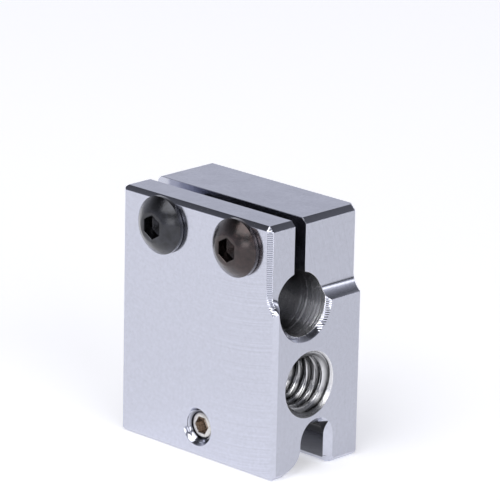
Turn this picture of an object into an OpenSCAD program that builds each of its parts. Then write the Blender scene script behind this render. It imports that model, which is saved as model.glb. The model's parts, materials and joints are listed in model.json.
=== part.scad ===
// Clamp-type heater block of a 3D printer hotend, with its three screws.
// Millimetres. The origin is on the axis of the nozzle thread, half way along the block.
// +X points to the stepped end, -Y to the face with the screw heads, +Z to the clamp jaws.

/* [Block] */
// Length along the bores
block_l = 20; // [17:0.5:30]
// Depth, from the front face to the rear face
block_w = 11.5; // [10.5:0.25:16]
// Height, from the slotted underside to the top of the jaws
block_h = 24; // [23:0.5:32]
// Chamfer on the upright edges and along the top of the front face
edge_chamfer = 0.4; // [0.2:0.05:0.5]
// Chamfer across the top of the stepped end
top_end_chamfer = 0.5; // [0.2:0.05:0.7]
// Chamfer across the bottom of both ends
base_end_chamfer = 0.5; // [0.2:0.05:0.6]
// Chamfer along the bottom of the front and rear faces
base_side_chamfer = 0.35; // [0.1:0.05:0.6]
// Chamfer along the top of the rear face
top_rear_chamfer = 0.1; // [0.05:0.05:0.5]

// How much more the two top corners over the step are broken than their chamfers break them
corner_break = 0.3; // [0.1:0.05:0.6]

/* [Nozzle thread] */
// Nominal diameter of the through thread, drawn as a plain bore of this diameter
nozzle_thread_d = 6; // [5:0.5:8]
// Diameter of the countersink at each mouth
nozzle_countersink_d = 6.4; // [6.2:0.1:9]
// Distance from the front face to the thread's axis
front_to_nozzle = 4.6; // [4:0.1:6]

/* [Heater clamp] */
// Diameter of the heater cartridge bore
heater_d = 6; // [4:0.5:7]
// Chamfer at the mouths of the heater bore
heater_chamfer = 0.45; // [0.1:0.05:0.6]
// Least metal between the nozzle thread and the heater bore
heater_web = 1.65; // [1.2:0.05:3]
// Distance from the front face to the middle of the heater bore and of the slit
front_to_clamp = 3.9; // [3.9:0.1:5.5]
// Width of the slit that splits the jaws
slit_w = 1.4; // [0.8:0.1:2]
// How far the jaws' end face is set back from the block's end face
jaw_set_back = 0.9; // [0.4:0.1:1.3]
// Radius of the fillet at the foot of the set-back
jaw_fillet_r = 2; // [1.4:0.1:2.4]
// Height of the fillet's centre above the heater bore's axis
jaw_fillet_rise = 1.55; // [0.8:0.05:2]

/* [Sensor slot] */
// Width of the slot, which is also the diameter of its arched roof
slot_w = 3; // [2:0.25:4]
// Depth of the slot, from the underside to the roof
slot_depth = 4.3; // [4:0.1:6]
// Least metal between the slot's roof and the nozzle thread
slot_web = 1.15; // [0.8:0.05:3]
// Chamfer round the slot at both end faces
slot_chamfer = 0.65; // [0.2:0.05:0.8]
// Radius of the front lip of the slot's mouth
front_lip_r = 2.5; // [1:0.1:2.5]
// Radius of the rear lip of the slot's mouth
rear_lip_r = 0.8; // [0.7:0.1:1.5]

/* [Clamp screws] */
// Nominal diameter of the clamp screws and the sensor screw
screw_d = 3; // [2:0.5:3]
// Length of a clamp screw under its head
clamp_screw_l = 10; // [8:1:11]
// Distance between the two clamp screws
clamp_spacing = 9.6; // [8:0.1:16]
// Offset of all three screws from the block's middle, towards the stepped end
screw_offset = 0.2; // [0:0.1:1]
// Distance from the top of the jaws down to the clamp screws' axes
clamp_drop = 2.65; // [2:0.05:3]
// Diameter of the button head
head_d = 5.5; // [4.5:0.1:5.7]
// Height of the button head
head_h = 1.5; // [1.1:0.05:1.65]
// Diameter of the flat top of the head, round the socket
head_flat_d = 2.8; // [2.7:0.1:3.4]
// Height of the upright rim at the foot of the head
head_rim_h = 0.5; // [0.1:0.05:0.6]
// Width of the head's hexagon socket across its flats
head_socket_af = 2; // [1.3:0.1:2.4]
// Depth of the head's socket
head_socket_depth = 1.1; // [0.6:0.05:1.3]

/* [Sensor screw] */
// Length of the headless sensor screw
sensor_screw_l = 3; // [2:0.5:3.5]
// How far the sensor screw sits below the front face
sensor_screw_recess = 0.6; // [0.2:0.05:1]
// Height of the sensor screw's axis above the underside
base_to_sensor_screw = 2.9; // [2.4:0.1:3.5]
// Width of the sensor screw's socket across its flats
sensor_socket_af = 1.5; // [0.9:0.1:1.6]
// Depth of the sensor screw's socket
sensor_socket_depth = 1.2; // [0.5:0.1:1.5]
// Diameter of the countersink round the sensor screw
sensor_countersink_d = 3.7; // [3.3:0.1:4.5]

/* [Clearances] */
// Gap all round a screw in its threaded hole, where the threads would mesh
thread_clearance = 0.05; // [0.02:0.01:0.1]
// Gap all round a clamp screw in the front jaw
jaw_clearance = 0.2; // [0.1:0.05:0.4]

/* [Hidden] */
$fn = 64;
eps = 0.01;

// the block's faces, in the frame of the nozzle thread
half_l = block_l / 2;
jaw_x = half_l - jaw_set_back;
front_y = -front_to_nozzle;
rear_y = front_y + block_w;
base_z = -(slot_depth + slot_web + nozzle_thread_d / 2);
top_z = base_z + block_h;

// the heater bore and the slit above it
heater_r = heater_d / 2;
clamp_y = front_y + front_to_clamp;
heater_z = nozzle_thread_d / 2 + heater_web + heater_r;
fillet_x = jaw_x + jaw_fillet_r;
fillet_z = heater_z + jaw_fillet_rise;

// the sensor slot
slot_y = front_y + block_w / 2;
slot_r = slot_w / 2;
slot_roof_z = base_z + slot_depth - slot_r;

// the screws
screw_r = screw_d / 2;
clamp_z = top_z - clamp_drop;
clamp_x = [screw_offset - clamp_spacing / 2, screw_offset + clamp_spacing / 2];
sensor_z = base_z + base_to_sensor_screw;
sensor_face_y = front_y + sensor_screw_recess;
tapped_r = screw_r + thread_clearance;
tip_chamfer = screw_r / 5;

// Extrudes a profile drawn in Y and Z along X.
module along_x(from, to) {
    translate([from, 0, 0]) rotate([90, 0, 90]) linear_extrude(to - from) children();
}

// Extrudes a profile drawn in X and Z along Y.
module along_y(from, to) {
    translate([0, to, 0]) rotate([90, 0, 0]) linear_extrude(to - from) children();
}

// A cylinder or cone along +X, from its first radius to its second.
module rod_x(x, y, z, length, r1, r2) {
    translate([x, y, z]) rotate([0, 90, 0]) cylinder(h = length, r1 = r1, r2 = r2);
}

// A cylinder or cone along +Y, from its first radius to its second.
module rod_y(x, y, z, length, r1, r2) {
    translate([x, y, z]) rotate([-90, 0, 0]) cylinder(h = length, r1 = r1, r2 = r2);
}

// Runs its children at both ends of the block, with +X pointing out of each.
module at_both_ends() {
    for (side = [0, 1]) mirror([side, 0, 0]) children();
}

// The block's outline from the front: the jaws' set-back, its fillet and the end chamfers.
module front_outline() {
    difference() {
        polygon([
            [-half_l + base_end_chamfer, base_z],
            [half_l - base_end_chamfer, base_z],
            [half_l, base_z + base_end_chamfer],
            [half_l, fillet_z],
            [jaw_x, fillet_z],
            [jaw_x, top_z - top_end_chamfer],
            [jaw_x - top_end_chamfer, top_z],
            [-half_l + edge_chamfer, top_z],
            [-half_l, top_z - edge_chamfer],
            [-half_l, base_z + base_end_chamfer],
        ]);
        translate([fillet_x, fillet_z]) circle(jaw_fillet_r);
    }
}

// The block's outline from the end, with its chamfers along the front and rear faces.
module end_outline() {
    polygon([
        [front_y + base_side_chamfer, base_z],
        [rear_y - base_side_chamfer, base_z],
        [rear_y, base_z + base_side_chamfer],
        [rear_y, top_z - top_rear_chamfer],
        [rear_y - top_rear_chamfer, top_z],
        [front_y + edge_chamfer, top_z],
        [front_y, top_z - edge_chamfer],
        [front_y, base_z + base_side_chamfer],
    ]);
}

// One lip of the slot's mouth, to be cut away: a square corner less its rounding.
// side is -1 for the front lip and 1 for the rear lip.
module lip_cut(side, r) {
    centre_y = slot_y + side * (slot_r + r);
    difference() {
        along_x(-half_l - eps, half_l + eps)
            translate([centre_y - (side > 0 ? r + eps : 0), base_z - eps]) square(r + eps);
        rod_x(-half_l - 1, centre_y, base_z + r, block_l + 2, r, r);
    }
    at_both_ends() difference() {
        along_x(half_l - slot_chamfer, half_l + eps)
            translate([centre_y - (side > 0 ? r + eps : 0), base_z - eps]) square(r + eps);
        rod_x(half_l - slot_chamfer, centre_y, base_z + r, slot_chamfer + eps, r, r - slot_chamfer);
    }
}

// The sensor cartridge's slot, with its arched roof, end chamfers and rounded lips.
module sensor_slot() {
    along_x(-half_l - 1, half_l + 1)
        translate([slot_y - slot_r, base_z - 1]) square([slot_w, slot_roof_z - base_z + 1]);
    rod_x(-half_l - 1, slot_y, slot_roof_z, block_l + 2, slot_r, slot_r);
    at_both_ends() {
        rod_x(half_l - slot_chamfer, slot_y, slot_roof_z, slot_chamfer, slot_r, slot_r + slot_chamfer);
        translate([0, slot_y, base_z - 1]) linear_extrude(slot_roof_z - base_z + 1) polygon([
            [half_l - slot_chamfer, -slot_r],
            [half_l + eps, -slot_r - slot_chamfer - eps],
            [half_l + eps, slot_r + slot_chamfer + eps],
            [half_l - slot_chamfer, slot_r],
        ]);
    }
    lip_cut(-1, front_lip_r);
    lip_cut(1, rear_lip_r);
}

// A round hole right through along X, with a countersink of radius mouth_r at each end.
module through_bore(y, z, r, mouth_r) {
    depth = mouth_r - r;
    rod_x(-half_l - 1, y, z, block_l + 2, r, r);
    at_both_ends() rod_x(half_l - depth, y, z, depth + eps, r, mouth_r + eps);
}

// One clamp screw's hole: clearance in the front jaw, tapped in the rear jaw.
module clamp_hole(x) {
    clear_r = screw_r + jaw_clearance;
    rod_y(x, front_y - 1, clamp_z, front_to_clamp + 1, clear_r, clear_r);
    rod_y(x, clamp_y, clamp_z, rear_y - clamp_y + 1, tapped_r, tapped_r);
    rod_y(x, rear_y - edge_chamfer, clamp_z, edge_chamfer + eps, tapped_r, tapped_r + edge_chamfer);
}

// The sensor screw's tapped hole, from the front face into the slot.
module sensor_screw_hole() {
    mouth_r = sensor_countersink_d / 2;
    rod_y(screw_offset, front_y - 1, sensor_z, slot_y - front_y + 1, tapped_r, tapped_r);
    rod_y(screw_offset, front_y - eps, sensor_z, mouth_r - tapped_r + eps, mouth_r, tapped_r);
}

// A triangular prism that chamfers the upright edge at x, y; away is the outward corner's signs.
module edge_cut(x, y, z, height, away) {
    reach = edge_chamfer + eps;
    translate([x, y, z]) linear_extrude(height) polygon([
        [away.x * eps, away.y * eps],
        [-away.x * reach, away.y * eps],
        [away.x * eps, -away.y * reach],
    ]);
}

// The chamfers on every upright edge, following the fillet where the jaws step back.
module upright_chamfers() {
    for (y_side = [[front_y, -1], [rear_y, 1]]) {
        for (x_sign = [-1, 1])
            edge_cut(x_sign * half_l, y_side[0], base_z - 1, block_h + 2, [x_sign, y_side[1]]);
        edge_cut(jaw_x, y_side[0], fillet_z, top_z - fillet_z + 1, [1, y_side[1]]);
        translate([fillet_x, y_side[0], fillet_z]) rotate([90 * y_side[1], 0, 0])
            cylinder(h = edge_chamfer, r1 = jaw_fillet_r + edge_chamfer, r2 = jaw_fillet_r);
    }
}

// The flats that break the two top corners over the step, where three chamfers meet.
module corner_breaks() {
    chamfers_meet = edge_chamfer + top_end_chamfer / 2;
    for (corner = [[front_y, -45], [rear_y, 45]])
        translate([jaw_x, corner[0], top_z]) rotate([0, atan(sqrt(2)), corner[1]])
            translate([-2, -2, -(chamfers_meet + corner_break) / sqrt(3)]) cube([4, 4, 2]);
}

// Machined aluminium block: two jaws over the heater bore, the nozzle thread and the sensor slot.
module heater_block() {
    color("#c9cad4") difference() {
        intersection() {
            along_y(front_y, rear_y) front_outline();
            along_x(-half_l, half_l) end_outline();
        }
        upright_chamfers();
        corner_breaks();
        translate([-half_l - 1, clamp_y - slit_w / 2, heater_z]) cube([block_l + 2, slit_w, block_h]);
        through_bore(clamp_y, heater_z, heater_r, heater_r + heater_chamfer);
        through_bore(0, 0, nozzle_thread_d / 2, nozzle_countersink_d / 2);
        sensor_slot();
        for (x = clamp_x) clamp_hole(x);
        sensor_screw_hole();
    }
}

// A hexagon socket along +Y with a cone at its floor; turn is the angle of its first corner.
module hex_socket(af, depth, turn) {
    corner_r = af / (2 * cos(30));
    rotate([-90, 0, 0]) {
        translate([0, 0, -1]) rotate([0, 0, turn]) cylinder(h = depth + 1, r = corner_r, $fn = 6);
        translate([0, 0, depth - eps]) cylinder(h = af / 6, r1 = af / 2 - eps, r2 = 0);
    }
}

// A button-head screw along +Y, its head's seat at y = 0 and its shank drawn at the thread's crests.
module button_head_screw() {
    head_r = head_d / 2;
    flat_r = head_flat_d / 2;
    dome_h = head_h - head_rim_h;
    // the arc through the rim's edge and the flat's edge, centred on the head's axis
    centre_h = (head_r * head_r - flat_r * flat_r - dome_h * dome_h) / (2 * dome_h);
    dome_r = sqrt(head_r * head_r + centre_h * centre_h);
    difference() {
        union() {
            intersection() {
                rod_y(0, -head_h, 0, head_h, head_r, head_r);
                translate([0, centre_h - head_rim_h, 0]) rotate([-90, 0, 0]) sphere(dome_r);
            }
            rod_y(0, -eps, 0, clamp_screw_l - tip_chamfer + eps, screw_r, screw_r);
            rod_y(0, clamp_screw_l - tip_chamfer, 0, tip_chamfer, screw_r, screw_r - tip_chamfer);
        }
        translate([0, -head_h, 0]) hex_socket(head_socket_af, head_socket_depth, 90);
    }
}

module clamp_screw_left() {
    color("#26262b") translate([clamp_x[0], front_y, clamp_z]) button_head_screw();
}

module clamp_screw_right() {
    color("#2c2623") translate([clamp_x[1], front_y, clamp_z]) button_head_screw();
}

// A headless screw that holds the sensor cartridge in its slot.
module sensor_set_screw() {
    body_l = sensor_screw_l - 2 * tip_chamfer;
    color("#a9a8a6") translate([screw_offset, sensor_face_y, sensor_z]) difference() {
        union() {
            rod_y(0, 0, 0, tip_chamfer, screw_r - tip_chamfer, screw_r);
            rod_y(0, tip_chamfer, 0, body_l, screw_r, screw_r);
            rod_y(0, tip_chamfer + body_l, 0, tip_chamfer, screw_r, screw_r - tip_chamfer);
        }
        hex_socket(sensor_socket_af, sensor_socket_depth, 0);
    }
}

heater_block();
clamp_screw_left();
clamp_screw_right();
sensor_set_screw();
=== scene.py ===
import json
import math
from functools import partial
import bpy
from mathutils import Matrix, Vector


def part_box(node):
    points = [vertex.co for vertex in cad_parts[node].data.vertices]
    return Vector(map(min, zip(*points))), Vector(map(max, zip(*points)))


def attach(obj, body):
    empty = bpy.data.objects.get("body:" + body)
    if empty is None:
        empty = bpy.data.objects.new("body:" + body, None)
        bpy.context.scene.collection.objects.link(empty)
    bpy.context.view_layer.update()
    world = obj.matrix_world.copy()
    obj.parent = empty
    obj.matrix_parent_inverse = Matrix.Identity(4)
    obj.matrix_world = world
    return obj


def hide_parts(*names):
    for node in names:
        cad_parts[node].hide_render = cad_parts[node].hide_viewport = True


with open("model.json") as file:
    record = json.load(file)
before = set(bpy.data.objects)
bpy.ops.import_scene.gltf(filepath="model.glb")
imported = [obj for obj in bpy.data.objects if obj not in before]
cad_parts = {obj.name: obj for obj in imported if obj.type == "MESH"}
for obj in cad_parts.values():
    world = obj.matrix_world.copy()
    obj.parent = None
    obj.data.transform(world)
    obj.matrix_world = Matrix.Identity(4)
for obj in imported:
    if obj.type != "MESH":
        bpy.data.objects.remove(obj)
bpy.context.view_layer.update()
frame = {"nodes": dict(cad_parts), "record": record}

from types import SimpleNamespace

import bmesh
import bpy
from bpy.props import FloatProperty, FloatVectorProperty, IntProperty, PointerProperty
from mathutils import Matrix, Vector

bl_info = {
    "name": "Clamp Heater Block",
    "version": (1, 0, 0),
    "blender": (4, 5, 0),
    "location": "View3D > Sidebar > Heater Block",
    "description": "Builds the looks of a clamp-type heater block and its screws around its CAD frame",
    "category": "Object",
}

MM = 0.001
TAU = 2 * math.pi
X_AXIS, Y_AXIS, Z_AXIS = Vector((1, 0, 0)), Vector((0, 1, 0)), Vector((0, 0, 1))
OFF_X, OFF_Y = Vector((0, 1, 1)), Vector((1, 0, 1))

# where the CAD frame has the block, its bores and the sensor screw
MOUNTS = {mount["name"]: mount for mount in frame["record"]["mounts"]}
BLOCK_LOW, BLOCK_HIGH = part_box("heater_block")
BLOCK_MIDDLE = (BLOCK_LOW + BLOCK_HIGH) / 2
SENSOR_LOW, SENSOR_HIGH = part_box("sensor_set_screw")
SENSOR_AXIS = (SENSOR_LOW + SENSOR_HIGH) / 2 * OFF_Y
HEATER_AXIS = Vector(MOUNTS["heater_bore"]["pos_m"])
HEATER_R = MOUNTS["heater_bore"]["dims"]["r_mm"] * MM
NOZZLE_WALL_R = MOUNTS["nozzle_thread"]["dims"]["r_mm"] * MM

# sizes of the CAD block that the frame doesn't name
NOZZLE_MOUTH_R = 3.2 * MM
TAPPED_WALL_R = 1.55 * MM
SENSOR_MOUTH_R = 1.85 * MM
REAR_COUNTERSINK_DEPTH = 0.4 * MM
SLIT_HALF_W = 0.7 * MM
SLOT_R = 1.5 * MM
SLOT_FRONT_Y = BLOCK_MIDDLE.y - SLOT_R
# a thread's ridge reaches this far into the metal it stands on, and stops this far short of its ends
OVERLAP = 0.02 * MM


def linear(hex_colour):
    """Turns an sRGB hex colour into linear red, green and blue."""
    values = [int(hex_colour[i:i + 2], 16) / 255 for i in (1, 3, 5)]
    return tuple(v / 12.92 if v <= 0.04045 else ((v + 0.055) / 1.055) ** 2.4 for v in values)


# a lighter plain grey for the bores and the nozzle thread: partly painted highlight, raised to whiten their
# glints
BRIGHTENED_BORE_GREY = linear("#dcdcde")


# ---------------------------------------------------------------- settings

def length(name, description, default):
    """A length property; Blender shows it in the scene's units."""
    return FloatProperty(name=name, description=description, default=default,
                         subtype="DISTANCE", unit="LENGTH", min=0, precision=5)


def colour(name, description, default):
    """A colour property, given as an sRGB hex value."""
    return FloatVectorProperty(name=name, description=description, default=linear(default),
                               subtype="COLOR", min=0, max=1)


class BlockSizes(bpy.types.PropertyGroup):
    """What the machined block adds to its CAD shape."""

    edge_ease: length("Edge ease", "Rounding that deburring leaves on the edges", 0.04 * MM)
    nozzle_pitch: length("Nozzle pitch", "Pitch of the nozzle thread", 1.0 * MM)
    nozzle_crest_r: length("Nozzle crest radius", "Radius inside the nozzle thread's crests", 2.46 * MM)
    nozzle_mouth_r: length("Nozzle mouth radius", "Radius of the countersink at the ends", NOZZLE_MOUTH_R)
    nozzle_start: FloatProperty(name="Nozzle thread start", description="Angle at which the thread starts",
                                default=math.radians(140), subtype="ANGLE", unit="ROTATION")
    nozzle_sides: IntProperty(name="Nozzle sides", description="Flat sides in a turn of the nozzle thread",
                              default=96, min=24)


class ScrewSizes(bpy.types.PropertyGroup):
    """Details of the clamp screws and the sensor screw."""

    pitch: length("Pitch", "Pitch of the M3 threads", 0.5 * MM)
    root_r: length("Root radius", "Radius at the bottom of the screws' thread", 1.2 * MM)
    crest_r: length("Crest radius", "Radius at the crest of the screws' thread", 1.5 * MM)
    tapped_gap: length("Tapped gap", "Gap between a screw's root and a tapped hole's crest", 0.07 * MM)
    shank_tip: length("Shank tip", "Length of the chamfer at a clamp screw's tip", 0.3 * MM)
    shank_tip_step: length("Shank tip step", "How far the tip narrows below the root radius", 0.15 * MM)
    head_flat_r: length("Head flat radius", "Radius of the flat round the socket", 1.4 * MM)
    head_rim_h: length("Head rim height", "Height of the head's upright rim above its seat", 0.5 * MM)
    head_socket_af: length("Head socket", "Width across the flats of a head's socket", 2.0 * MM)
    head_socket_depth: length("Head socket depth", "Depth of a head's socket", 1.1 * MM)
    set_flat_r: length("Sensor screw flat radius", "Radius of the sensor screw's flat end", 1.05 * MM)
    set_point: length("Sensor screw point", "Length of the taper at the sensor screw's point", 0.2 * MM)
    set_socket_af: length("Sensor screw socket", "Width across the flats of its socket", 1.5 * MM)
    set_socket_depth: length("Sensor screw socket depth", "Depth of its socket", 1.2 * MM)
    sides: IntProperty(name="Sides", description="Flat sides that make a full turn", default=72, min=24)


class Finishes(bpy.types.PropertyGroup):
    """Colours of the finishes."""

    aluminium: colour("Aluminium", "Milled aluminium", "#c6c8d3")
    black_oxide: colour("Black oxide", "Blackened steel of the left screw", "#25262c")
    bronzed_oxide: colour("Bronzed oxide", "Thinner, browner oxide of the right screw", "#302423")
    stainless: colour("Stainless", "Plain stainless steel of the sensor screw", "#cfccc8")
    # painted shade: the darker brown that tints the sensor screw's socket
    socket_darkening: colour("Socket grease", "Brown grease in the sensor screw's socket", "#b9aea3")
    floor: colour("Floor", "Plain pale studio floor", "#f4f4f6")


# ---------------------------------------------------------------- mesh helpers

def make_piece(name, bm, material, body, slot, *replaced):
    """Turns a bmesh into a finished piece that rides on a body and stands for CAD nodes."""
    mesh = bpy.data.meshes.new(name)
    bm.to_mesh(mesh)
    bm.free()
    mesh.materials.append(material)
    piece = bpy.data.objects.new(name, mesh)
    bpy.context.scene.collection.objects.link(piece)
    for polygon in mesh.polygons:
        polygon.use_smooth = True
    mesh.set_sharp_from_angle(angle=math.radians(40))
    piece.modifiers.new("flat faces stay flat", "WEIGHTED_NORMAL").keep_sharp = True
    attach(piece, body)
    if replaced:
        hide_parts(*replaced)
    return piece


def radial_frame(axis):
    """Two unit vectors at right angles to axis and to each other."""
    side = Z_AXIS if abs(axis.z) < 0.5 else X_AXIS
    across = axis.cross(side).normalized()
    return across, axis.cross(across).normalized()


def spin_profile(bm, origin, axis, profile, sides):
    """Spins a profile of (radius, distance along the axis) a full turn about the axis."""
    across = radial_frame(axis)[0]
    verts = [bm.verts.new(origin + across * r + axis * h) for r, h in profile]
    edges = [bm.edges.new(pair) for pair in zip(verts, verts[1:])]
    bmesh.ops.spin(bm, geom=verts + edges, cent=origin, axis=axis, angle=TAU, steps=sides,
                   use_merge=True)
    bmesh.ops.remove_doubles(bm, verts=bm.verts, dist=1e-7)


def helical_ridge(bm, origin, axis, section, pitch, turns, sides, start_angle=0.0):
    """Winds a closed section of (radius, distance along the axis) into turns of a right-hand helix."""
    across = Matrix.Rotation(start_angle, 3, axis) @ radial_frame(axis)[0]
    verts = [bm.verts.new(origin + across * r + axis * h) for r, h in section]
    edges = [bm.edges.new(pair) for pair in zip(verts, verts[1:] + verts[:1])]
    bmesh.ops.spin(bm, geom=verts + edges, cent=origin, axis=axis, dvec=axis * (pitch / sides),
                   angle=TAU, steps=sides)
    one_turn = bm.verts[:] + bm.edges[:] + bm.faces[:]
    for k in range(1, turns):
        copy = bmesh.ops.duplicate(bm, geom=one_turn)["geom"]
        bmesh.ops.translate(bm, verts=[v for v in copy if isinstance(v, bmesh.types.BMVert)],
                            vec=axis * (pitch * k))
    bmesh.ops.remove_doubles(bm, verts=bm.verts, dist=1e-6)


def trim(bm, point, outward):
    """Cuts off what lies beyond a plane through point, and closes the cut."""
    cut = bmesh.ops.bisect_plane(bm, geom=bm.verts[:] + bm.edges[:] + bm.faces[:], plane_co=point,
                                 plane_no=outward, clear_outer=True)["geom_cut"]
    bmesh.ops.triangle_fill(bm, edges=[e for e in cut if isinstance(e, bmesh.types.BMEdge)],
                            use_beauty=True, use_dissolve=False)
    bmesh.ops.recalc_face_normals(bm, faces=bm.faces)


def reshape_radius(bm, start, axis, new_radius):
    """Moves each point in or out from the axis, to new_radius(distance along the axis, radius now)."""
    for vert in bm.verts:
        along = (vert.co - start).dot(axis)
        on_axis = start + axis * along
        outward = vert.co - on_axis
        vert.co = on_axis + outward.normalized() * new_radius(along, outward.length)


def move_into(bm, other):
    """Adds another bmesh's faces to bm, and frees it."""
    carrier = bpy.data.meshes.new("carrier")
    other.to_mesh(carrier)
    other.free()
    bm.from_mesh(carrier)
    bpy.data.meshes.remove(carrier)


def thread_section(root_r, crest_r, root_w, crest_w, cuts=3):
    """A trapezoid thread section whose flanks and crest are cut into short stretches."""
    corners = [(root_r, -root_w / 2), (crest_r, -crest_w / 2),
               (crest_r, crest_w / 2), (root_r, root_w / 2)]
    section = []
    for (r0, h0), (r1, h1) in zip(corners, corners[1:]):
        section += [(r0 + (r1 - r0) * k / cuts, h0 + (h1 - h0) * k / cuts) for k in range(cuts)]
    return section + [corners[-1]]


# ---------------------------------------------------------------- materials

def add(tree, kind, *values, named=None, **settings):
    """Adds a shader node: values fill its inputs in order, named ones by name, settings its properties."""
    made = tree.nodes.new("ShaderNode" + kind)
    for key, value in settings.items():
        setattr(made, key, value)
    for socket, value in [*enumerate(values), *(named or {}).items()]:
        if isinstance(value, bpy.types.Node):
            value = value.outputs[0]
        if isinstance(value, bpy.types.NodeSocket):
            tree.links.new(value, made.inputs[socket])
        else:
            made.inputs[socket].default_value = value
    return made


def new_material(name):
    """An empty node material; returns it, and the function that adds nodes to it."""
    material = bpy.data.materials.new(name)
    material.use_nodes = True
    material.node_tree.nodes.clear()
    return material, partial(add, material.node_tree)


def in_millimetres(node):
    """Object coordinates in millimetres: the whole vector, and its X, Y and Z apart."""
    place = node("VectorMath", node("TexCoord").outputs["Object"], named={"Scale": 1 / MM},
                 operation="SCALE")
    return place, node("SeparateXYZ", place).outputs


def block_regions(node):
    """Where on the block a point is, in millimetres, and which of its cuts the point lies in."""
    at = SimpleNamespace()
    at.place, (at.x, at.y, at.z) = in_millimetres(node)
    normal = node("VectorMath", node("TexCoord").outputs["Normal"], operation="ABSOLUTE")
    at.along_x, at.along_y, at.along_z = node("SeparateXYZ", normal).outputs

    # distances from the axes of the bores, and from the middles of the block, the slit and the slot
    off_x = node("VectorMath", at.place, OFF_X, operation="MULTIPLY")
    off_y = node("VectorMath", at.place, OFF_Y, operation="MULTIPLY")
    at.from_heater = node("VectorMath", off_x, HEATER_AXIS / MM, operation="DISTANCE").outputs["Value"]
    at.from_nozzle = node("VectorMath", off_x, operation="LENGTH").outputs["Value"]
    from_sensor = node("VectorMath", off_y, SENSOR_AXIS / MM, operation="DISTANCE").outputs["Value"]
    at.from_middle = node("Math", at.x, operation="ABSOLUTE")
    at.from_slit = node("Math", at.y, HEATER_AXIS.y / MM, operation="SUBTRACT")
    at.from_slot = node("Math", at.y, BLOCK_MIDDLE.y / MM, operation="SUBTRACT")

    heater_r, mouth_r, tapped_r = HEATER_R / MM, NOZZLE_MOUTH_R / MM, TAPPED_WALL_R / MM
    slot_r, slot_y = SLOT_R / MM, SLOT_FRONT_Y / MM
    at.in_bore = node("MapRange", at.from_heater, heater_r, heater_r + 0.04, 1.0, 0.0)
    at.in_thread = node("MapRange", at.from_nozzle, mouth_r - 0.02, mouth_r, 1.0, 0.0)
    at.in_slot = node("Math", node("Math", at.from_slot, 0.0, slot_r + 0.03, operation="COMPARE"),
                      node("MapRange", at.z, -4.2, -4.1, 1.0, 0.0), operation="MULTIPLY")
    at.in_tapped = node("Math", node("MapRange", from_sensor, tapped_r + 0.05, tapped_r + 0.07, 1.0, 0.0),
                        node("MapRange", at.y, slot_y - 0.05, slot_y + 0.05, 1.0, 0.0),
                        operation="MULTIPLY")
    # the fillet slopes in X and Z alone
    at.in_fillet = node("Math", node("MapRange", at.along_x, 0.3, 0.4, 0.0, 1.0),
                        node("MapRange", at.along_y, 0.1, 0.2, 1.0, 0.0), operation="MULTIPLY")
    at.on_end = node("MapRange", at.along_x, 0.9, 0.99, 0.0, 1.0)
    at.in_rings = node("Math", at.in_bore, at.in_thread, operation="MAXIMUM")
    return at


def mill_arcs(node, at):
    """The mill's teeth leave arcs; stacked lines, bent into arcs by a sag that grows from the middle."""
    # on the front they have about 29 mm radius, stacked along Z, plainest near the stepped end
    off_centre = node("Math", at.x, 2.1, operation="SUBTRACT")
    sag = node("Math", node("Math", off_centre, off_centre, operation="MULTIPLY"), 58.0, operation="DIVIDE")
    arcs = node("TexNoise", named={"W": node("Math", at.z, sag, operation="SUBTRACT"), "Scale": 4.5,
                                   "Detail": 3.0, "Roughness": 0.7}, noise_dimensions="1D")
    on_front = node("Math", node("MapRange", at.along_y, 0.9, 0.99, 0.0, 1.0),
                    node("MapRange", at.x, 0.0, 7.0, 0.25, 1.0), operation="MULTIPLY")
    # on the ends they have 45 mm radius, stacked along Y, plainest on the jaws
    end_sag = node("Math", node("Math", at.z, at.z, operation="MULTIPLY"), 90.0, operation="DIVIDE")
    end_arcs = node("TexNoise", named={"W": node("Math", at.y, end_sag, operation="ADD"), "Scale": 6.0,
                                       "Detail": 3.0, "Roughness": 0.7}, noise_dimensions="1D")
    on_end = node("Math", at.on_end, node("MapRange", at.z, 6.0, 12.0, 0.3, 0.8), operation="MULTIPLY")
    cuts = node("Math", node("Math", arcs, 0.5, operation="SUBTRACT"), on_front, operation="MULTIPLY")
    return node("Math", node("Math", end_arcs, 0.5, operation="SUBTRACT"), on_end, cuts,
                operation="MULTIPLY_ADD")


def chamfer_ticks(node, at):
    """Ticks 0.2 mm apart across the ends' upright chamfers and the rear of the heater bore's mouth."""
    tick = node("Math", at.z, 0.1, operation="PINGPONG")
    # the upright chamfers are beyond 5.1 mm from the middle in Y and 8.3 mm in X; the mouth's are within
    # 3.5 mm of the heater bore's axis, and fade out in front of the slit
    slanted = node("MapRange", node("Math", at.along_x, at.along_y, operation="MULTIPLY"),
                   0.25, 0.4, 0.0, 1.0)
    at_side = node("MapRange", node("Math", at.from_slot, operation="ABSOLUTE"), 5.1, 5.2, 0.0, 1.0)
    upright = node("Math", at_side, node("MapRange", at.from_middle, 8.3, 8.4, 0.0, 1.0),
                   operation="MULTIPLY")
    upright = node("Math", upright, node("MapRange", at.z, 8.6, 9.8, 0.12, 0.5), operation="MULTIPLY")
    mouth = node("Math", node("MapRange", at.from_heater, 3.5, 3.52, 1.0, 0.0),
                 node("MapRange", at.from_slit, -1.0, 1.0, 0.0, 0.5), operation="MULTIPLY")
    on_chamfer = node("Math", slanted, node("Math", upright, mouth, operation="MAXIMUM"),
                      operation="MULTIPLY")
    return node("Math", tick, on_chamfer, operation="MULTIPLY")


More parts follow.
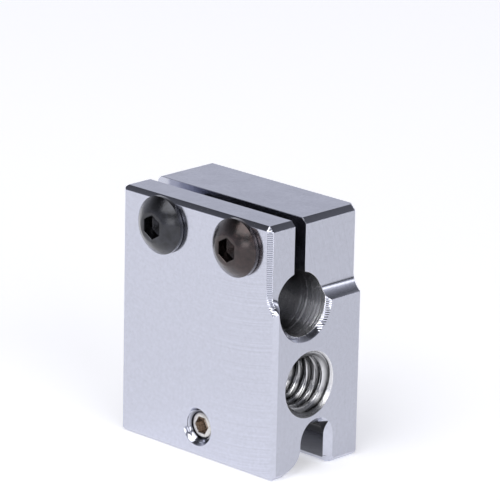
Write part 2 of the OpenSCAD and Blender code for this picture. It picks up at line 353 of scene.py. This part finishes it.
def painted_shade_and_light(node, at, shade):
    """Paints shade into the colour in the slot, the bores, the nozzle thread, the tapped hole and on the
    ends, and paints light at the heater bore's mouths.
    """
    # painted shade in the slot, darkest high up under its arch
    slot_shade = node("MapRange", at.z, -7.5, -5.0, 0.3, 0.04)
    # painted shade deep in the heater bore, and painted light near its mouths
    bore_shade_and_light = node("MapRange", at.from_middle, 6.0, 9.5, 0.37, 1.6)
    # painted shade: the nozzle thread's roots and its upper side are the darkest, and its mouths are left
    # unshaded
    root_shade = node("MapRange", at.from_nozzle, 2.5, 2.95, 1.0, 0.13)
    upper_shade = node("Math", root_shade, node("MapRange", at.z, 0.8, 2.6, 1.0, 0.45), operation="MULTIPLY")
    thread_shade = node("Math", upper_shade, node("MapRange", at.from_middle, 9.5, 9.8, 0.0, 1.0),
                       operation="MAXIMUM")
    # painted shade on the nozzle thread's lower part
    thread_shade = node("Math", thread_shade, node("MapRange", at.z, -3.1, -1.4, 0.35, 1.0),
                       operation="MULTIPLY")
    front_y = BLOCK_LOW.y / MM
    # painted shade in the tapped hole, from 0.4 to 0.6 mm behind the front face inwards
    tapped_shade = node("MapRange", at.y, front_y + 0.4, front_y + 0.6, 1.0, 0.12)
    # the ends get painted shade as well
    for region, keep in ((at.in_slot, slot_shade), (at.in_bore, bore_shade_and_light), (at.in_thread, thread_shade),
                         (at.in_tapped, tapped_shade), (at.on_end, 0.82)):
        shade = node("Math", shade, node("MapRange", region, 0.0, 1.0, 1.0, keep), operation="MULTIPLY")
    return shade


def milled_aluminium(colour):
    """Aluminium, cut with a face mill: a cool satin metal with curved cutter lines and ticked chamfers."""
    material, node = new_material("milled_aluminium")
    at = block_regions(node)
    cuts = mill_arcs(node, at)
    # reaming and countersinking leave rings in the bores
    rings = node("TexNoise", named={"W": at.x, "Scale": 11.0, "Detail": 3.0, "Roughness": 0.7},
                 noise_dimensions="1D")
    ring_depth = node("MapRange", at.in_thread, 0.0, 1.0, 0.03, 0.05)
    # heights in millimetres, all drawn deeper and wider apart than real ones so that they show
    height = node("Math", cuts, 0.0035, operation="MULTIPLY")
    height = node("Math", chamfer_ticks(node, at), 0.7, height, operation="MULTIPLY_ADD")
    height = node("Math", node("Math", rings, at.in_rings, operation="MULTIPLY"), ring_depth, height,
                  operation="MULTIPLY_ADD")
    bump = node("Bump", named={"Height": height, "Strength": 1.0, "Distance": MM})

    # the flats are satin; chamfers, fillets and threads, cut with smaller tools, are brighter
    clouds = node("TexNoise", at.place, named={"Scale": 0.5, "Detail": 4.0})
    flat_rough = node("MapRange", clouds, 0.3, 0.7, 0.15, 0.21)
    squarest = node("Math", node("Math", at.along_x, at.along_y, operation="MAXIMUM"), at.along_z,
                    operation="MAXIMUM")
    # the fillet's cutter rubbed near its foot, and left a smoother band above
    fillet_foot = HEATER_AXIS.z / MM
    fillet_rough = node("MapRange", at.z, fillet_foot, fillet_foot + 1.3, 0.3, 0.06)
    slanted_rough = node("Mix", named={0: at.in_fillet, 2: 0.13, 3: fillet_rough}).outputs[0]
    rough = node("MapRange", squarest, 0.93, 0.995, slanted_rough, flat_rough)
    rough = node("Math", rough, node("Math", at.in_bore, 0.25, operation="MULTIPLY"), operation="MAXIMUM")

    # a fine grain, the arcs' own shading, painted shade in the cuts and on the ends, and painted light at
    # the heater bore's mouths
    grain = node("TexNoise", at.place, named={"Scale": 3.0, "Detail": 4.0})
    shade = node("Math", node("MapRange", grain, 0.25, 0.75, 1.05, 0.95),
                 node("Math", cuts, -0.24, 1.0, operation="MULTIPLY_ADD"), operation="MULTIPLY")
    shade = painted_shade_and_light(node, at, shade)
    # inside the bores and the nozzle thread the metal is a lighter plain grey than the cool faces,
    # brightened as a painted highlight to whiten their glints
    bore_grey = node("Mix", named={0: at.in_rings, 6: (*colour, 1), 7: (*BRIGHTENED_BORE_GREY, 1)},
                data_type="RGBA").outputs[2]
    tint = node("VectorMath", bore_grey, named={"Scale": shade}, operation="SCALE")
    shader = node("BsdfPrincipled", named={"Base Color": tint, "Metallic": 1.0, "Roughness": rough,
                                           "Normal": bump})
    node("OutputMaterial", shader)
    return material


def oxide_steel(name, colour):
    """Steel blackened in a hot salt bath and oiled: dark, glossy, a little mottled and scratched."""
    material, node = new_material(name)
    place, _ = in_millimetres(node)
    mottle = node("TexNoise", place, named={"Scale": 1.4, "Detail": 5.0, "Roughness": 0.6})
    rough = node("MapRange", mottle, 0.3, 0.7, 0.14, 0.26)
    bump = node("Bump", named={"Height": mottle, "Strength": 1.0, "Distance": 0.05 * MM})
    shade = node("MapRange", mottle, 0.35, 0.65, 0.5, 1.45)
    tint = node("VectorMath", tuple(colour), named={"Scale": shade}, operation="SCALE")
    # the oil film is a clear coat
    shader = node("BsdfPrincipled", named={"Base Color": tint, "Metallic": 1.0, "Roughness": rough,
                                           "Normal": bump, "Coat Weight": 1.0, "Coat Roughness": 0.24})
    node("OutputMaterial", shader)
    return material


def stainless_steel(colour, darkening):
    """Stainless steel, turned and tumbled: bright with fine rings, and a darker brown painted shade in the
    socket from just below its mouth inwards.
    """
    material, node = new_material("turned_stainless")
    place, (_, y, _) = in_millimetres(node)
    flat = node("VectorMath", place, OFF_Y, operation="MULTIPLY")
    from_axis = node("VectorMath", flat, SENSOR_AXIS / MM, operation="DISTANCE").outputs["Value"]
    face_y = SENSOR_LOW.y / MM
    rings = node("TexNoise", named={"W": from_axis, "Scale": 6.0, "Detail": 3.0}, noise_dimensions="1D")
    marks = node("TexNoise", place, named={"Scale": 4.0, "Detail": 3.0})
    height = node("Math", rings, marks, operation="ADD")
    bump = node("Bump", named={"Height": height, "Strength": 1.0, "Distance": 0.01 * MM})
    rough = node("MapRange", marks, 0.3, 0.7, 0.18, 0.3)
    # painted shade: the socket's walls take the darker brown from just below its mouth inwards
    inside = node("Math", node("MapRange", from_axis, 0.86, 0.9, 1.0, 0.0),
                  node("MapRange", y, face_y + 0.02, face_y + 0.3, 0.0, 1.0), operation="MULTIPLY")
    tint = node("Mix", named={0: inside, 6: (*colour, 1), 7: (*darkening, 1)},
                data_type="RGBA").outputs[2]
    shader = node("BsdfPrincipled", named={"Base Color": tint, "Metallic": 1.0, "Roughness": rough,
                                           "Normal": bump})
    node("OutputMaterial", shader)
    return material


def material_once(name, make, *values):
    """The material of that name, made the first time that it's asked for."""
    return bpy.data.materials.get(name) or make(*values)


def aluminium():
    return material_once("milled_aluminium", milled_aluminium, bpy.context.scene.heater_finishes.aluminium)


# ---------------------------------------------------------------- pieces

DOME_STEPS = 12


def machined_block(sizes):
    """The CAD block with its loose triangles joined into whole faces and its sharp edges eased."""
    bm = bmesh.new()
    bm.from_mesh(frame["nodes"]["heater_block"].data)
    bmesh.ops.remove_doubles(bm, verts=bm.verts, dist=1e-6)
    bmesh.ops.dissolve_limit(bm, angle_limit=math.radians(0.5), verts=bm.verts, edges=bm.edges)
    sharp = [e for e in bm.edges if e.is_manifold and e.calc_face_angle() > math.radians(25)]
    bmesh.ops.bevel(bm, geom=sharp, offset=sizes.edge_ease, offset_type="OFFSET", segments=2,
                    profile=0.5, affect="EDGES", material=-1, clamp_overlap=False)
    return make_piece("machined_block", bm, aluminium(), "block", "machined_aluminium", "heater_block")


def nozzle_thread(sizes):
    """The nozzle thread's ridge, standing on the wall of the plain CAD bore."""
    pitch, crest_r, mouth_r = sizes.nozzle_pitch, sizes.nozzle_crest_r, sizes.nozzle_mouth_r
    wall_r, block_l = NOZZLE_WALL_R + OVERLAP, BLOCK_HIGH.x - BLOCK_LOW.x
    section = thread_section(wall_r, crest_r, pitch * 7 / 8, pitch / 4, cuts=4)
    turns = math.ceil(block_l / pitch) + 2
    bm = bmesh.new()
    helical_ridge(bm, X_AXIS * (BLOCK_LOW.x - pitch), X_AXIS, section, pitch, turns, sizes.nozzle_sides,
                  sizes.nozzle_start)
    # both ends stop where the mouths' countersinks leave the wall, and the countersinks cut the ridge
    for end in (BLOCK_LOW.x, BLOCK_HIGH.x):
        outward = X_AXIS if end > 0 else -X_AXIS
        trim(bm, X_AXIS * end - outward * (mouth_r - wall_r), outward)
    reshape_radius(bm, X_AXIS * BLOCK_LOW.x, X_AXIS,
                   lambda along, radius: max(radius, mouth_r - min(along, block_l - along)))
    return make_piece("nozzle_thread", bm, aluminium(), "block", "machined_aluminium")


def tapped_hole_thread(name, start, low_y, high_y, mouth_r, sizes):
    """The ridge of a tapped M3 hole, half a pitch from the ridge of the screw that starts at start."""
    wall_r, crest_r, pitch = TAPPED_WALL_R + OVERLAP, sizes.root_r + sizes.tapped_gap, sizes.pitch
    section = thread_section(wall_r, crest_r, pitch * 0.88, pitch * 0.24)
    turns = math.ceil((high_y - start.y) / pitch) + 2
    bm = bmesh.new()
    helical_ridge(bm, start - Y_AXIS * (pitch / 2), Y_AXIS, section, pitch, turns, sizes.sides)
    trim(bm, Y_AXIS * (low_y + max(mouth_r - wall_r, OVERLAP)), -Y_AXIS)
    trim(bm, Y_AXIS * (high_y - OVERLAP), Y_AXIS)
    reshape_radius(bm, Vector((start.x, low_y, start.z)), Y_AXIS,
                   lambda along, radius: max(radius, mouth_r - along))
    return make_piece(name, bm, aluminium(), "block", "machined_aluminium")


def add_screw_thread(bm, start, long, first, most_radius, sizes):
    """Adds the ridge of a screw's thread, from first to long along +Y, held within most_radius(along)."""
    section = thread_section(sizes.root_r - OVERLAP, sizes.crest_r, sizes.pitch * 0.8, sizes.pitch / 8)
    turns = math.ceil(long / sizes.pitch) + 2
    ridge = bmesh.new()
    helical_ridge(ridge, start - Y_AXIS * sizes.pitch, Y_AXIS, section, sizes.pitch, turns, sizes.sides)
    trim(ridge, start + Y_AXIS * first, -Y_AXIS)
    trim(ridge, start + Y_AXIS * (long - OVERLAP), Y_AXIS)
    reshape_radius(ridge, start, Y_AXIS, lambda along, radius: min(radius, most_radius(along)))
    move_into(bm, ridge)


def button_head_profile(head_r, head_h, sizes):
    """The head's outline as (radius, distance from its seat): a dome, then a rounded upright rim."""
    flat_r, rim_h = sizes.head_flat_r, sizes.head_rim_h
    dome_h = head_h - rim_h
    centre_h = (head_r ** 2 - flat_r ** 2 - dome_h ** 2) / (2 * dome_h)
    dome_r = math.hypot(head_r, centre_h)
    low_angle = math.asin(centre_h / dome_r)
    high_angle = math.asin((centre_h + dome_h) / dome_r)
    dome = []
    for k in range(DOME_STEPS + 1):
        angle = high_angle + (low_angle - high_angle) * k / DOME_STEPS
        dome.append((dome_r * math.cos(angle), -(rim_h + dome_r * math.sin(angle) - centre_h)))
    return dome + [(head_r, -rim_h * 0.25), (head_r - 0.03 * MM, -rim_h * 0.1),
                   (head_r - 0.12 * MM, 0.0)]


def button_head_screw(name, node, body, slot, material, sizes):
    """A button-head socket screw: domed head, hexagon socket, and a real helical thread."""
    low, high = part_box(node)
    seat = Vector(((low.x + high.x) / 2, BLOCK_LOW.y, (low.z + high.z) / 2))
    head_h, head_r = seat.y - low.y, (high.x - low.x) / 2
    shank_l, tip = high.y - seat.y, sizes.shank_tip
    tip_r = sizes.root_r - sizes.shank_tip_step
    bm = bmesh.new()
    shank = [(sizes.root_r, 0.0), (sizes.root_r, shank_l - tip), (tip_r, shank_l), (0.0, shank_l)]
    spin_profile(bm, seat, Y_AXIS, button_head_profile(head_r, head_h, sizes) + shank, sizes.sides)
    add_socket(bm, seat - Y_AXIS * head_h, sizes.head_flat_r, sizes.head_socket_af, sizes.head_socket_depth,
               math.radians(90), sizes.sides)
    undercut = 0.1 * MM
    add_screw_thread(bm, seat, shank_l, undercut,
                     lambda along: max(sizes.crest_r - max(along - shank_l + tip, 0), tip_r), sizes)
    tapped_hole_thread(name + "_hole", seat - Y_AXIS * sizes.pitch, HEATER_AXIS.y + SLIT_HALF_W,
                       BLOCK_HIGH.y - REAR_COUNTERSINK_DEPTH, TAPPED_WALL_R, sizes)
    return make_piece(name, bm, material, body, slot, node)


def add_socket(bm, top, outer_r, across_flats, depth, first_corner, sides):
    """The flat end of a screw with its hexagon socket; the socket goes in along +Y from top."""
    corner_r = across_flats / math.sqrt(3)
    lead_in = 0.05 * MM

    def ring(radius, count, turn=0.0):
        """A loop of edges round the axis, starting where spun profiles start."""
        across = Matrix.Rotation(turn, 3, Y_AXIS) @ radial_frame(Y_AXIS)[0]
        verts = [bm.verts.new(top + Matrix.Rotation(TAU * k / count, 3, Y_AXIS) @ across * radius)
                 for k in range(count)]
        return [bm.edges.new((verts[k], verts[(k + 1) % count])) for k in range(count)]

    outer = ring(outer_r, sides)
    mouth = ring(corner_r + lead_in, 6, first_corner)
    cut = bmesh.ops.subdivide_edges(bm, edges=mouth, cuts=sides // 6 - 1)["geom"]
    mouth = list({e for e in [*cut, *mouth] if isinstance(e, bmesh.types.BMEdge)})
    bmesh.ops.bridge_loops(bm, edges=outer + mouth)
    # the lead-in narrows to the hexagon's own size, the walls go straight in, and the floor is a cone
    narrow = corner_r / (corner_r + lead_in)
    for shrink, sink in ((narrow, lead_in), (1.0, depth - lead_in), (0.0, across_flats / 6)):
        made = bmesh.ops.extrude_edge_only(bm, edges=mouth)["geom"]
        mouth = [e for e in made if isinstance(e, bmesh.types.BMEdge)]
        inner = [v for v in made if isinstance(v, bmesh.types.BMVert)]
        bmesh.ops.translate(bm, verts=inner, vec=Y_AXIS * sink)
        bmesh.ops.scale(bm, verts=inner, vec=(shrink, 1, shrink), space=Matrix.Translation(-top))
    bmesh.ops.remove_doubles(bm, verts=bm.verts, dist=1e-6)
    bmesh.ops.recalc_face_normals(bm, faces=bm.faces)


def sensor_screw(sizes):
    """The sensor screw: headless, threaded over its whole length, with a hexagon socket."""
    top = SENSOR_AXIS + Y_AXIS * SENSOR_LOW.y
    long, root_r = SENSOR_HIGH.y - SENSOR_LOW.y, sizes.root_r
    flat_r, lip, point = sizes.set_flat_r, 0.08 * MM, sizes.set_point
    bm = bmesh.new()
    profile = [(flat_r, 0.0), (root_r, lip), (root_r, long - point), (root_r - point, long), (0.0, long)]
    spin_profile(bm, top, Y_AXIS, profile, sizes.sides)
    add_socket(bm, top, flat_r, sizes.set_socket_af, sizes.set_socket_depth, 0.0, sizes.sides)
    add_screw_thread(bm, top, long, OVERLAP, lambda along: flat_r + min(along, long - along), sizes)
    tapped_hole_thread("sensor_hole", top - Y_AXIS * sizes.pitch, BLOCK_LOW.y, SLOT_FRONT_Y,
                       SENSOR_MOUTH_R, sizes)
    finishes = bpy.context.scene.heater_finishes
    material = material_once("turned_stainless", stainless_steel, finishes.stainless,
                             finishes.socket_darkening)
    return make_piece("sensor_screw", bm, material, "sensor_screw", "stainless_steel", "sensor_set_screw")


# ---------------------------------------------------------------- operators

class HEATER_OT_block(bpy.types.Operator):
    """Build the machined block and its nozzle thread"""

    bl_idname = "heater.block"
    bl_label = "Heater block"

    def execute(self, context):
        machined_block(context.scene.heater_block_sizes)
        nozzle_thread(context.scene.heater_block_sizes)
        return {"FINISHED"}


class HEATER_OT_clamp_screws(bpy.types.Operator):
    """Build the two button-head clamp screws"""

    bl_idname = "heater.clamp_screws"
    bl_label = "Clamp screws"

    def execute(self, context):
        sizes, finishes = context.scene.heater_screw_sizes, context.scene.heater_finishes
        for side, finish in (("left", "black_oxide"), ("right", "bronzed_oxide")):
            material = oxide_steel(finish, getattr(finishes, finish))
            button_head_screw(f"{side}_clamp_screw", f"clamp_screw_{side}", f"{side}_screw",
                              f"{finish}_steel", material, sizes)
        return {"FINISHED"}


class HEATER_OT_sensor_screw(bpy.types.Operator):
    """Build the headless sensor screw"""

    bl_idname = "heater.sensor_screw"
    bl_label = "Sensor screw"

    def execute(self, context):
        sensor_screw(context.scene.heater_screw_sizes)
        return {"FINISHED"}


class HEATER_OT_stage(bpy.types.Operator):
    """Set up the floor, the soft lights, the world and the camera"""

    bl_idname = "heater.stage"
    bl_label = "Studio stage"

    def execute(self, context):
        scene = context.scene
        build_floor(scene.heater_finishes.floor)
        build_world(scene)
        for light in LIGHTS:
            soft_light(*light)
        build_camera(scene)
        return {"FINISHED"}


# the floor lies this far under the block, so that the two don't share a plane
FLOOR_GAP = 0.02 * MM
# heights of the view and the greys there: the table's dark edge, the wall, the dark round a ceiling light
WORLD_GREYS = ((0.07, 0.07), (0.16, 0.55), (0.3, 0.72), (0.4, 0.4), (0.6, 0.2), (0.72, 0.05), (0.86, 0.05),
               (0.96, 0.5))
WORLD_CAST = Vector((0.96, 0.98, 1.1))
# name, azimuth and elevation in degrees, width and height in metres, and power in watts
LIGHTS = (("key", 10, 57, 0.75, 0.75, 4.6), ("front", 26, 13, 0.4, 0.3, 0.8),
          ("side", 72, 26, 0.55, 0.5, 2.9), ("rim", 141, 15, 0.5, 0.1, 0.25))
# azimuth, elevation and roll in degrees, distance in metres, focal length in millimetres
CAMERA = {"azimuth": 43.95, "elevation": 16.99, "roll": 1.19, "distance": 0.3726, "lens": 289.4}
# how far the middle of the view is to the right of the block's middle, and above it
VIEW_RIGHT, VIEW_UP = 0.86 * MM, 6.45 * MM


def build_floor(colour):
    """A plain pale floor under the block, glowing a little as a light table does."""
    material, node = new_material("pale_floor")
    node("OutputMaterial", node("BsdfPrincipled", named={
        "Base Color": (*colour, 1), "Roughness": 0.9,
        "Emission Color": (*colour, 1), "Emission Strength": 0.43}))
    bm = bmesh.new()
    bmesh.ops.create_grid(bm, x_segments=1, y_segments=1, size=3.0)
    bmesh.ops.translate(bm, verts=bm.verts, vec=Z_AXIS * (BLOCK_LOW.z - FLOOR_GAP))
    mesh = bpy.data.meshes.new("floor")
    bm.to_mesh(mesh)
    bm.free()
    mesh.materials.append(material)
    floor = bpy.data.objects.new("floor", mesh)
    bpy.context.scene.collection.objects.link(floor)


def build_world(scene):
    """A pale band of wall all round, between the table's far edge and the dark round a ceiling light."""
    world = bpy.data.worlds.new("studio")
    scene.world = world
    world.use_nodes = True
    world.node_tree.nodes.clear()
    node = partial(add, world.node_tree)
    toward = node("TexCoord").outputs["Generated"]
    # the table's dark edge is only behind the stepped end
    back_right = node("VectorMath", toward, (0.7, 0.7, 0.0), operation="DOT_PRODUCT").outputs["Value"]
    height = node("Math", node("SeparateXYZ", toward).outputs["Z"],
                  node("MapRange", back_right, 0.5, 0.8, 0.22, 0.0), operation="MAXIMUM")
    ramp = node("ValToRGB", height)
    stops = ramp.color_ramp.elements
    stops[0].position, stops[1].position = WORLD_GREYS[0][0], WORLD_GREYS[-1][0]
    for place, _ in WORLD_GREYS[1:-1]:
        stops.new(place)
    for stop, (_, grey) in zip(stops, WORLD_GREYS):
        stop.color = (*(WORLD_CAST * grey), 1)
    node("OutputWorld", node("Background", ramp))


def direction(azimuth, elevation):
    """A unit vector from the block; azimuth 0 degrees is in front of it, and 90 at its stepped end."""
    turn, rise = math.radians(azimuth), math.radians(elevation)
    return Vector((math.sin(turn) * math.cos(rise), -math.cos(turn) * math.cos(rise), math.sin(rise)))


def soft_light(name, azimuth, elevation, width, height, power):
    """A softbox 1 m away that faces the block."""
    away = direction(azimuth, elevation)
    data = bpy.data.lights.new(name, "AREA")
    data.shape = "RECTANGLE"
    data.size, data.size_y = width, height
    data.energy = power
    lamp = bpy.data.objects.new(name, data)
    bpy.context.scene.collection.objects.link(lamp)
    lamp.location = away
    lamp.rotation_mode = "QUATERNION"
    lamp.rotation_quaternion = away.to_track_quat("Z", "Y")


def build_camera(scene):
    """A long lens, a little above the block and looking at its stepped front corner."""
    back = direction(CAMERA["azimuth"], CAMERA["elevation"])
    level = Z_AXIS.cross(back).normalized()
    upward = back.cross(level)
    roll = math.radians(CAMERA["roll"])
    right = level * math.cos(roll) + upward * math.sin(roll)
    up = upward * math.cos(roll) - level * math.sin(roll)
    place = BLOCK_MIDDLE + right * VIEW_RIGHT + up * VIEW_UP + back * CAMERA["distance"]
    data = bpy.data.cameras.new("camera")
    data.lens, data.sensor_width = CAMERA["lens"], 36.0
    data.clip_start, data.clip_end = 0.01, 20.0
    camera = bpy.data.objects.new("camera", data)
    scene.collection.objects.link(camera)
    camera.matrix_world = Matrix.Translation(place) @ Matrix((right, up, back)).transposed().to_4x4()
    scene.camera = camera
    scene.view_settings.view_transform = "Standard"


class HEATER_PT_panel(bpy.types.Panel):
    """Lists the heater block's operators"""

    bl_label = "Heater block"
    bl_idname = "HEATER_PT_panel"
    bl_space_type = "VIEW_3D"
    bl_region_type = "UI"
    bl_category = "Heater Block"

    def draw(self, context):
        for operator in OPERATORS:
            self.layout.operator(operator.bl_idname)


OPERATORS = (HEATER_OT_block, HEATER_OT_clamp_screws, HEATER_OT_sensor_screw, HEATER_OT_stage)
SETTINGS = {"heater_block_sizes": BlockSizes, "heater_screw_sizes": ScrewSizes, "heater_finishes": Finishes}


def register():
    for group in (*SETTINGS.values(), *OPERATORS, HEATER_PT_panel):
        bpy.utils.register_class(group)
    for name, group in SETTINGS.items():
        setattr(bpy.types.Scene, name, PointerProperty(type=group))


def unregister():
    for name in SETTINGS:
        delattr(bpy.types.Scene, name)
    for group in reversed((*SETTINGS.values(), *OPERATORS, HEATER_PT_panel)):
        bpy.utils.unregister_class(group)


def main():
    register()
    bpy.ops.heater.block()
    bpy.ops.heater.clamp_screws()
    bpy.ops.heater.sensor_screw()
    bpy.ops.heater.stage()


if __name__ == "__main__":
    main()
